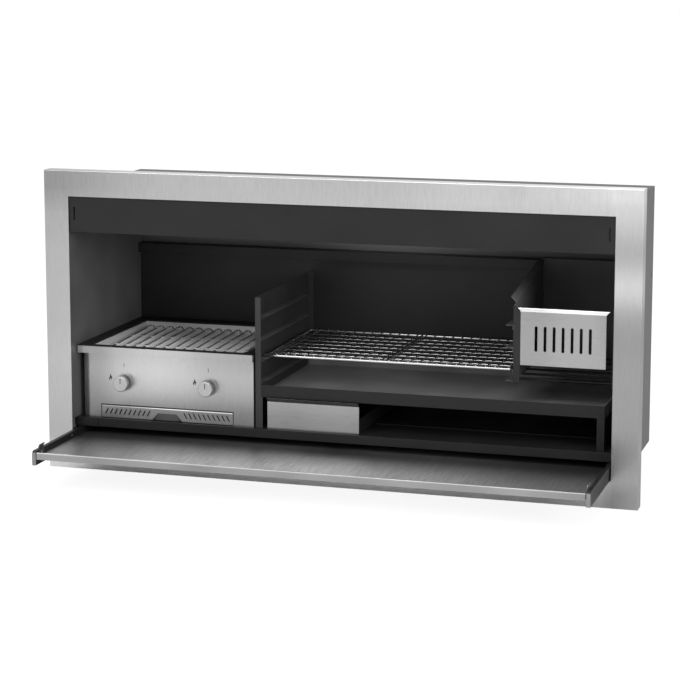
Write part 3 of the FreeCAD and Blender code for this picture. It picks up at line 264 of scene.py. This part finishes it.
# Lighter copies of the same dark coating, standing in for light: painted light on the right back shield, the side
# liners, the ember box walls, the divider and the ledges; the ember box walls keep the dark tone only on their front
# edges.
corner_coat = coated("corner_coat", 0.085, 0.46, specular=0.4)
inner_coat = coated("inner_coat", 0.080, 0.50)
wall_low, wall_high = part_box("ember_box_left")
wall_coat = coated("wall_coat", 0.14, 0.50, specular=0.4,
                   bands=[("Y", wall_low.y + 0.001, wall_low.y + 0.005, [(0.0, 0.09), (0.3, 0.09), (0.7, 1.0),
                                                                         (1.0, 1.0)], None)])
divider_coat = coated("divider_coat", 0.022, 0.50, specular=0.4)
ledge_coat = coated("ledge_coat", 0.060, 0.45)
burnt_steel = coated("burnt_steel", 0.03, 0.60)
casing_steel = coated("casing_steel", 0.10, 0.55, spread=0.04)
chrome = metal("chrome", (0.54, 0.54, 0.54), 0.18)
hook_metal = metal("hook_metal", (0.17, 0.17, 0.17), 0.38)
# Painted light: the door arms' front ends are twenty times lighter than their dark coating.
arm_coat = coated("arm_coat", 0.010, 0.46, specular=0.32,
                  bands=[("Y", -0.5045, -0.5015, [(0.0, 20.0), (0.4, 20.0), (0.8, 1.0), (1.0, 1.0)], None)])
# Painted dark reflection on the knobs' sides: the tone falls from the face towards the back.
knob_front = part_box("knob_left")[0].y
knob_steel = metal("knob_steel", (0.56, 0.56, 0.56), 0.35,
                   bands=[("Y", knob_front, knob_front + 0.0205, [(0.0, 1.0), (0.06, 0.8), (0.5, 0.7), (0.78, 0.2),
                                                                  (1.0, 0.12)], None)])
brass = metal("brass", (0.70, 0.52, 0.24), 0.30)
zinc = metal("zinc", (0.48, 0.49, 0.50), 0.45, (60, 60, 60), 0.08)
satin_steel = metal("satin_steel", (0.90, 0.90, 0.89), 0.45, metallic=0.35)
point_metal = metal("point_metal", (0.95, 0.95, 0.94), 0.22)

glaze, tree, shader = new_material("glaze")
speckle = stretched_noise(tree, (300, 300, 300))
tones = two_tones(tree, speckle, (0.80, 0.79, 0.74), (0.88, 0.87, 0.83))
link(tree, tones, "Color", shader, "Base Color")
shader.inputs["Roughness"].default_value = 0.18

# Dark print for the burner's marks and the knob pointers; the same dark also serves as painted shadow in the gap
# around the drip tray's opening.
ink_and_gap_shadow, tree, shader = new_material("ink_and_gap_shadow")
speckle = stretched_noise(tree, (500, 500, 500))
tones = two_tones(tree, speckle, (0.012, 0.012, 0.012), (0.022, 0.022, 0.022))
link(tree, tones, "Color", shader, "Base Color")
shader.inputs["Roughness"].default_value = 0.5

finishes = {
    "fascia_frame": fascia_steel,
    "burner_front_panel": front_steel, "burner_lip": front_steel, "drip_tray_front": front_steel,
    "drip_tray_pan": pan_steel, "burner_box": burnt_steel,
    "ember_box_front": plate_steel, "ash_drawer_front": plate_steel,
    "door_panel": tray_steel, "door_lip": lip_steel,
    "grill_frame": grill_steel, "grill_channels": channel_steel, "grill_cross_bars": grill_steel,
    "wire_grid_frame": chrome, "wire_grid_wires": chrome, "arm_rivets": chrome,
    "door_hooks": hook_metal, "door_arm_left": arm_coat, "door_arm_right": arm_coat,
    "door_pins": zinc, "burner_tubes": burnt_steel, "burner_support": burnt_steel,
    "gas_manifold": zinc, "gas_valves": brass, "gas_inlet_pipe": zinc, "ignition_electrodes": glaze,
    "knob_left": knob_steel, "knob_right": knob_steel, "valve_stem_left": brass, "valve_stem_right": brass,
    "thrust_washer_left": brass, "thrust_washer_right": brass, "knob_bezels": zinc,
    "side_liner_left": inner_coat, "side_liner_right": inner_coat, "ember_box_left": wall_coat,
    "ember_box_right": wall_coat, "back_shield": shield_coat, "back_shield_right": corner_coat,
    "fire_pan": pan_coat, "divider": divider_coat, "divider_ledges": ledge_coat, "ember_box_ledges": ledge_coat,
    "casing_back": casing_steel, "casing_base": casing_steel, "casing_left": casing_steel,
    "casing_right": casing_steel, "casing_top": casing_steel,
}
for name, node in nodes.items():
    finish = finishes.get(name, dark_steel)
    node.data.materials.clear()
    node.data.materials.append(finish)


# Building helpers

def piece(name, mesh, body, finish):
    made = bpy.data.objects.new(name, mesh)
    bpy.context.scene.collection.objects.link(made)
    mesh.materials.append(finish)
    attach(made, body)
    return made


def mesh_from(name, vertices, faces, smooth=True):
    mesh = bpy.data.meshes.new(name)
    mesh.from_pydata([tuple(v) for v in vertices], [], faces)
    mesh.validate()
    for polygon in mesh.polygons:
        polygon.use_smooth = smooth
    return mesh


def add_tube(vertices, faces, path, radius, sides=8):
    """A round wire along a path of points, closed at both ends."""
    first = len(vertices)
    count = len(path)
    for index, centre in enumerate(path):
        ahead = path[min(index + 1, count - 1)] - path[max(index - 1, 0)]
        ahead.normalize()
        across = Vector((0, 0, 1)).cross(ahead)
        if across.length < 1e-4:
            across = Vector((1, 0, 0))
        across.normalize()
        up = ahead.cross(across)
        for side in range(sides):
            angle = 2 * pi * side / sides
            vertices.append(centre + across * cos(angle) * radius + up * sin(angle) * radius)
    for index in range(count - 1):
        for side in range(sides):
            a = first + index * sides + side
            b = first + index * sides + (side + 1) % sides
            faces.append((a, b, b + sides, a + sides))
    faces.append(tuple(first + side for side in reversed(range(sides))))
    last = first + (count - 1) * sides
    faces.append(tuple(last + side for side in range(sides)))


def add_dome(vertices, faces, centre, size, sides=10, rings=4):
    """A low rounded nub standing on a flat place; size is its half width, half length and height."""
    first = len(vertices)
    for ring in range(rings):
        tilt = pi / 2 * ring / rings
        for side in range(sides):
            angle = 2 * pi * side / sides
            vertices.append(centre + Vector((size[0] * cos(angle) * cos(tilt), size[1] * sin(angle) * cos(tilt),
                                             size[2] * sin(tilt))))
    top = len(vertices)
    vertices.append(centre + Vector((0, 0, size[2])))
    for ring in range(rings - 1):
        for side in range(sides):
            a = first + ring * sides + side
            b = first + ring * sides + (side + 1) % sides
            faces.append((a, b, b + sides, a + sides))
    last = first + (rings - 1) * sides
    for side in range(sides):
        faces.append((last + side, last + (side + 1) % sides, top))
    faces.append(tuple(first + side for side in reversed(range(sides))))


# Wire mesh of the grid

def wire_mesh():
    """Crimped wires: the long ones step over every cross wire and end on top of the frame's rods."""
    low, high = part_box("wire_grid_frame")
    wires_low, wires_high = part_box("wire_grid_wires")
    level = (low.z + high.z) / 2
    rod = high.z - low.z
    wire = 3.2 * MM
    pitch = 24.2 * MM
    middle_x = low.x + 310 * MM
    front, rear = wires_low.y, wires_high.y
    cross_count = 7
    cross_step = (rear - front) / (cross_count + 1)
    long_crimp = 0.5 * MM
    cross_crimp = 0.45 * MM
    vertices, faces = [], []
    for side in (-1, 1):
        for index in range(12):
            x = middle_x + side * (index + 0.5) * pitch
            path = [Vector((x, front - rod * 0.62, level + rod / 2 + wire * 0.32)),
                    Vector((x, front - rod * 0.30, level + rod / 2 + wire * 0.30)),
                    Vector((x, front + rod * 0.10, level + rod / 2 - wire * 0.1))]
            steps = (cross_count + 1) * 6
            for step in range(2, steps - 1):
                y = front + (rear - front) * step / steps
                turn = 2 * pi * (y - front) / cross_step
                path.append(Vector((x, y, level + wire / 2 + long_crimp * cos(turn))))
            path.append(Vector((x, rear - rod * 0.10, level + rod / 2 - wire * 0.1)))
            path.append(Vector((x, rear + rod * 0.30, level + rod / 2 + wire * 0.30)))
            path.append(Vector((x, rear + rod * 0.62, level + rod / 2 + wire * 0.32)))
            add_tube(vertices, faces, path, wire / 2)
            for end in (front - rod * 0.45, rear + rod * 0.45):
                add_dome(vertices, faces, Vector((x, end, level + rod / 2 - 0.4 * MM)), (2.6 * MM, 3.0 * MM, 3.4 * MM))
    spans = ((wires_low.x, middle_x - rod / 2), (middle_x + rod / 2, wires_high.x))
    for row in range(1, cross_count + 1):
        y = front + row * cross_step
        for start, end in spans:
            steps = 104
            path = []
            for step in range(steps + 1):
                x = start + (end - start) * step / steps
                turn = 2 * pi * (abs(x - middle_x) / pitch - 0.5)
                sway = cos(turn / 2) * (-1) ** row
                height = level - wire / 2 - cross_crimp * cos(turn) + 0.15 * MM * sway
                path.append(Vector((x, y, height)))
            add_tube(vertices, faces, path, wire / 2)
    made = piece("wire_mesh", mesh_from("wire_mesh", vertices, faces), "wire_grid", chrome)
    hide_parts("wire_grid_wires")


wire_mesh()


# Round parts turned about an axis

def turned(name, profile, origin, axis, body, slot, finish, sides=64):
    """A turned part; profile is a list of (distance along the axis, radius), both in metres."""
    axis = Vector(axis).normalized()
    across = axis.orthogonal().normalized()
    up = axis.cross(across)
    vertices, faces = [], []
    for along_axis, radius in profile:
        for side in range(sides):
            angle = 2 * pi * side / sides
            offset = across * cos(angle) * radius + up * sin(angle) * radius
            vertices.append(Vector(origin) + axis * along_axis + offset)
    for ring in range(len(profile) - 1):
        for side in range(sides):
            a = ring * sides + side
            b = ring * sides + (side + 1) % sides
            faces.append((a, b, b + sides, a + sides))
    faces.append(tuple(reversed(range(sides))))
    last = (len(profile) - 1) * sides
    faces.append(tuple(last + side for side in range(sides)))
    return piece(name, mesh_from(name, vertices, faces), body, finish)


# Marks on the burner's front

def flat_mark(name, outlines, y, body, finish=None):
    """Thin flat shapes on a front that faces -Y, used for printed marks and for painted shadow; each outline is a list
    of (x, z).
    """
    vertices, faces = [], []
    for outline in outlines:
        first = len(vertices)
        vertices += [Vector((x, y, z)) for x, z in outline]
        faces.append(tuple(range(first, first + len(outline))))
    return piece(name, mesh_from(name, vertices, faces, False), body, finish or ink_and_gap_shadow)


def burner_marks():
    face_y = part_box("burner_front_panel")[0].y - 0.15 * MM
    for side in ("left", "right"):
        low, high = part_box("knob_" + side)
        x = (low.x + high.x) / 2
        z = (low.z + high.z) / 2
        tick = [(x - 0.7 * MM, z + 39 * MM), (x + 0.7 * MM, z + 39 * MM), (x + 0.7 * MM, z + 49 * MM),
                (x - 0.7 * MM, z + 49 * MM)]
        flame_x = x - 37 * MM
        flame_z = z + 3 * MM
        flame = [(0, 14), (1.4, 10.4), (3.6, 7.2), (3.4, 3.0), (1.6, 0.2), (2.2, 3.4), (0.8, 6.0), (-0.6, 3.4),
                 (-0.4, 0.2), (-2.8, 2.2), (-3.0, 5.8), (-1.4, 8.6)]
        outline = [(flame_x + 1.25 * a * MM, flame_z + 1.25 * b * MM) for a, b in flame]
        flat_mark("front_marks_" + side, [tick, outline], face_y, "casing")


burner_marks()


def knob_pointers():
    """A dark inlaid pointer in the upper half of each knob's face."""
    for side in ("left", "right"):
        low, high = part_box("knob_" + side)
        x = (low.x + high.x) / 2
        z = (low.z + high.z) / 2
        half = 1.0 * MM
        line = [(x - half, z + 1.5 * MM), (x + half, z + 1.5 * MM), (x + half, z + 14.5 * MM),
                (x, z + 15.2 * MM), (x - half, z + 14.5 * MM)]
        flat_mark("knob_pointer_" + side, [line], low.y - 0.12 * MM, side + "_knob")


knob_pointers()


def opening_gap_shadow():
    """Painted shadow: dark strips in the gap around the drip tray's opening, along its top and sides."""
    face_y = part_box("burner_front_panel")[0].y - 0.15 * MM
    low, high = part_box("drip_tray_front")
    left, right = low.x - 0.5 * MM, high.x + 0.5 * MM
    top = high.z + 1.5 * MM
    edge = 1.8 * MM
    strips = [[(left - edge, top), (right + edge, top), (right + edge, top + edge), (left - edge, top + edge)],
              [(left - edge, low.z), (left, low.z), (left, top), (left - edge, top)],
              [(right, low.z), (right + edge, low.z), (right + edge, top), (right, top)]]
    flat_mark("opening_gap_shadow", strips, face_y, "casing")


opening_gap_shadow()


# Pressed points on the grill's ridges

def ridge_points():
    """Small raised points where the ridges' slots end, three to a ridge."""
    low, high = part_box("grill_channels")
    margin = 11.0 * MM
    count = 14
    pitch = (high.x - low.x - 2 * margin) / count
    length = high.y - low.y
    rise = 11.6 * MM
    vertices, faces = [], []
    for ridge in range(count + 1):
        x = low.x + margin + ridge * pitch
        for bar in range(3):
            run = (122.5 + 109.0 * bar) * MM
            z = high.z - rise * (length - run) / length - 0.4 * MM
            add_dome(vertices, faces, Vector((x, low.y + run + 3 * MM, z)), (3.2 * MM, 5.0 * MM, 3.0 * MM))
    piece("ridge_points", mesh_from("ridge_points", vertices, faces), "vee_grill", point_metal)


ridge_points()


def darken_ridges():
    """Painted shade along the ridges' slots, darkening the crests where the slots show the shade beneath; the ridges
    climb towards the rear.
    """
    low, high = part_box("grill_channels")
    slope = 11.6 * MM / (high.y - low.y)
    crest = high.z - slope * high.y
    tree = channel_steel.node_tree
    shader = tree.nodes["Principled BSDF"]
    place = tree.nodes.new("ShaderNodeTexCoord")
    split = tree.nodes.new("ShaderNodeSeparateXYZ")
    link(tree, place, "Object", split, "Vector")
    x, y, z = split.outputs
    way = tree.nodes.new("ShaderNodeMapRange")
    way.inputs["From Min"].default_value = crest - 2.6 * MM
    way.inputs["From Max"].default_value = crest - 1.0 * MM
    way.inputs["To Max"].default_value = 0.86
    tree.links.new(computed(tree, "MULTIPLY_ADD", y, -slope, z), way.inputs["Value"])
    off_slot = computed(tree, "PINGPONG", computed(tree, "SUBTRACT", y, low.y + 71 * MM), 54.5 * MM)
    slot = computed(tree, "LESS_THAN", off_slot, 49 * MM)
    behind_rim = computed(tree, "GREATER_THAN", y, low.y + 20 * MM)
    beside = computed(tree, "COMPARE", x, (low.x + high.x) / 2, (high.x - low.x) / 2 - 8.5 * MM)
    marked = computed(tree, "MULTIPLY", computed(tree, "MULTIPLY", slot, behind_rim), beside)
    loss = computed(tree, "MULTIPLY", way.outputs["Result"], marked)
    kept = computed(tree, "SUBTRACT", 1.0, loss)
    tone = shader.inputs["Base Color"].links[0].from_socket
    tree.links.new(computed(tree, "MULTIPLY", tone, kept), shader.inputs["Base Color"])


darken_ridges()


# Folded rim of the drip tray's front

def tray_rim():
    """A rounded fold along the top of the drip tray's front; it catches the light."""
    low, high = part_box("drip_tray_front")
    radius = 1.4 * MM
    inset = 0.4 * MM
    arc = [(cos(pi * step / 10 - pi / 2), sin(pi * step / 10 - pi / 2)) for step in range(11)]
    outline = [(low.y - radius * across + 0.2 * MM, high.z - radius - 0.1 * MM + radius * up) for across, up in arc]
    outline += [(low.y + 0.2 * MM, high.z - 0.1 * MM), (low.y + 0.2 * MM, high.z - 2 * radius - 0.1 * MM)]
    vertices = [Vector((x, y, z)) for x in (low.x + inset, high.x - inset) for y, z in outline]
    count = len(outline)
    faces = [(a, (a + 1) % count, (a + 1) % count + count, a + count) for a in range(count)]
    faces += [tuple(reversed(range(count))), tuple(range(count, 2 * count))]
    mesh = mesh_from("tray_rim", vertices, faces)
    piece("tray_rim", mesh, "drip_tray", satin_steel)


tray_rim()


# Camera, floor and light

camera_data = bpy.data.cameras.new("camera")
camera_data.sensor_width = 36
camera_data.lens = 114.021
camera_data.shift_y = -0.1
camera_data.clip_end = 100
camera = bpy.data.objects.new("camera", camera_data)
camera.location = (1.50350, -5.15159, 1.27412)
camera.rotation_euler = (radians(90 - 8.778), 0, radians(16.845))
bpy.context.scene.collection.objects.link(camera)
bpy.context.scene.camera = camera

floor_mesh = mesh_from("floor", [(-30, -30, -0.051), (30, -30, -0.051), (30, 30, -0.051), (-30, 30, -0.051)],
                       [(0, 1, 2, 3)], False)
floor = bpy.data.objects.new("floor", floor_mesh)
bpy.context.scene.collection.objects.link(floor)
floor_paint, tree, shader = new_material("floor_paint")
shader.inputs["Base Color"].default_value = (0.84, 0.84, 0.84, 1)
shader.inputs["Roughness"].default_value = 0.9
shader.inputs["Specular IOR Level"].default_value = 0.1
white = tree.nodes.new("ShaderNodeEmission")
white.inputs["Color"].default_value = (1, 1, 1, 1)
white.inputs["Strength"].default_value = 1.25
rays = tree.nodes.new("ShaderNodeLightPath")
share = tree.nodes.new("ShaderNodeMath")
share.operation = "MULTIPLY"
share.inputs[1].default_value = 0.70
link(tree, rays, "Is Camera Ray", share, 0)
mix = tree.nodes.new("ShaderNodeMixShader")
link(tree, share, "Value", mix, "Fac")
link(tree, shader, "BSDF", mix, 1)
link(tree, white, "Emission", mix, 2)
link(tree, mix, "Shader", tree.nodes["Material Output"], "Surface")
floor_mesh.materials.append(floor_paint)


def area_light(name, place, aim, size_x, size_y, power):
    data = bpy.data.lights.new(name, "AREA")
    data.shape = "RECTANGLE"
    data.size = size_x
    data.size_y = size_y
    data.energy = power
    light = bpy.data.objects.new(name, data)
    light.location = place
    direction = Vector(aim) - Vector(place)
    light.rotation_euler = direction.to_track_quat("-Z", "Y").to_euler()
    bpy.context.scene.collection.objects.link(light)
    return light


area_light("key", (-2.8, -4.0, 3.2), (0, 0, 0.3), 2.0, 1.4, 45)
right_light = area_light("right", (4.2, -3.4, 1.6), (0, 0, 0.3), 2.2, 1.8, 160)
right_light.visible_glossy = False
area_light("top", (0.0, -2.3, 3.2), (0, 0, 0.1), 3.0, 1.4, 60)

world = bpy.data.worlds.new("studio")
world.use_nodes = True
tree = world.node_tree
background = tree.nodes["Background"]
rays = tree.nodes.new("ShaderNodeLightPath")
mirrored = computed(tree, "MULTIPLY", rays.outputs["Is Glossy Ray"], 0.71)
seen = computed(tree, "MAXIMUM", rays.outputs["Is Camera Ray"], mirrored)
level = tree.nodes.new("ShaderNodeMapRange")
level.inputs["To Min"].default_value = 0.58
level.inputs["To Max"].default_value = 1.0
tree.links.new(seen, level.inputs["Value"])
background.inputs["Color"].default_value = (1, 1, 1, 1)
link(tree, level, "Result", background, "Strength")
bpy.context.scene.world = world
bpy.context.scene.view_settings.view_transform = "Standard"
